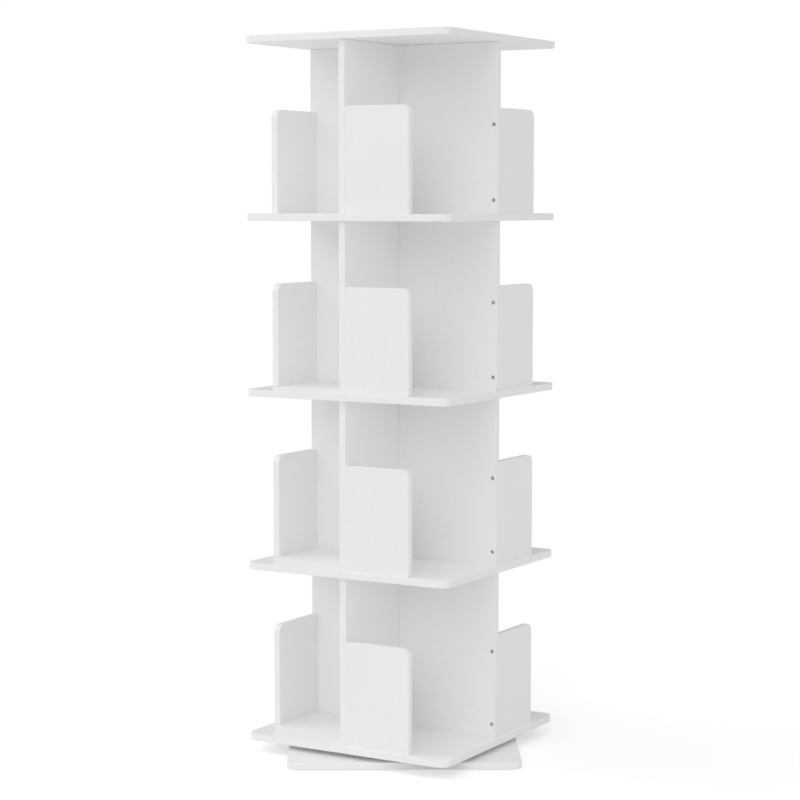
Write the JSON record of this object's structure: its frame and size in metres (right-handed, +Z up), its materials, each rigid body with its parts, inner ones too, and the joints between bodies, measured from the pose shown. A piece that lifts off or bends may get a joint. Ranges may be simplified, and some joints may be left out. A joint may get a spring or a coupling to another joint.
{
  "type": "revolving bookcase",
  "caption": "Tall white revolving bookcase: square boards with rounded corners, pinwheel uprights and low rounded fences on every tier, turning on a flat ball bearing over a square base.",
  "frame": {"origin": "on the turning axis, on the floor under the pads", "axes": "+Z up along the turning axis; the stack of boards lies square to X and Y, with the front fences on its -Y side and +X to the right; the base board is turned 31.2 degrees about +Z against the stack, as in the picture"},
  "size_m": [0.603, 0.603, 1.3985],
  "materials": {
    "board_white": "white melamine foil on board, satin",
    "pad_foam": "closed-cell foam, matt",
    "ring_aluminium": "bare, satin",
    "screw_steel": "zinc plated",
    "lock_zinc": "die-cast zinc, dull",
    "ball_steel": "polished",
    "cage_nylon": "natural nylon",
    "dowel_beech": "raw beech, fluted",
    "cap_plastic": "white, satin"
  },
  "bodies": {
    "base": {"base_board": "board_white", "foot_pads": "pad_foam", "turntable_outer_ring": "ring_aluminium", "outer_ring_screws": "screw_steel"},
    "ball_ring": {"ball_cage": "cage_nylon", "bearing_balls": "ball_steel"},
    "stack": {"turntable_inner_ring": "ring_aluminium", "inner_ring_screws": "screw_steel", "bottom_board": "board_white", "shelf_board_1": "board_white", "shelf_board_2": "board_white", "shelf_board_3": "board_white", "top_board": "board_white", "tier1_panel_front": "board_white", "tier1_panel_right": "board_white", "tier1_panel_back": "board_white", "tier1_panel_left": "board_white", "tier2_panel_front": "board_white", "tier2_panel_right": "board_white", "tier2_panel_back": "board_white", "tier2_panel_left": "board_white", "tier3_panel_front": "board_white", "tier3_panel_right": "board_white", "tier3_panel_back": "board_white", "tier3_panel_left": "board_white", "tier4_panel_front": "board_white", "tier4_panel_right": "board_white", "tier4_panel_back": "board_white", "tier4_panel_left": "board_white", "tier1_fence_front": "board_white", "tier1_fence_right": "board_white", "tier1_fence_back": "board_white", "tier1_fence_left": "board_white", "tier2_fence_front": "board_white", "tier2_fence_right": "board_white", "tier2_fence_back": "board_white", "tier2_fence_left": "board_white", "tier3_fence_front": "board_white", "tier3_fence_right": "board_white", "tier3_fence_back": "board_white", "tier3_fence_left": "board_white", "tier4_fence_front": "board_white", "tier4_fence_right": "board_white", "tier4_fence_back": "board_white", "tier4_fence_left": "board_white", "fence_screws": "screw_steel", "board_screws": "screw_steel", "cam_locks": "lock_zinc", "cam_bolts": "screw_steel", "dowels": "dowel_beech", "top_board_caps": "cap_plastic"}
  },
  "joints": [
    {"name": "stack_spin", "type": "hinge", "parent": "base", "child": "stack", "pos_m": [0, 0, 0.02025], "axis": [0, 0, 1], "continuous": true},
    {"name": "ball_orbit", "type": "hinge", "parent": "base", "child": "ball_ring", "pos_m": [0, 0, 0.02025], "axis": [0, 0, 1], "continuous": true}
  ],
  "couplings": [
    {"joint": "ball_orbit", "follows": "stack_spin", "ratio": 0.4889}
  ]
}
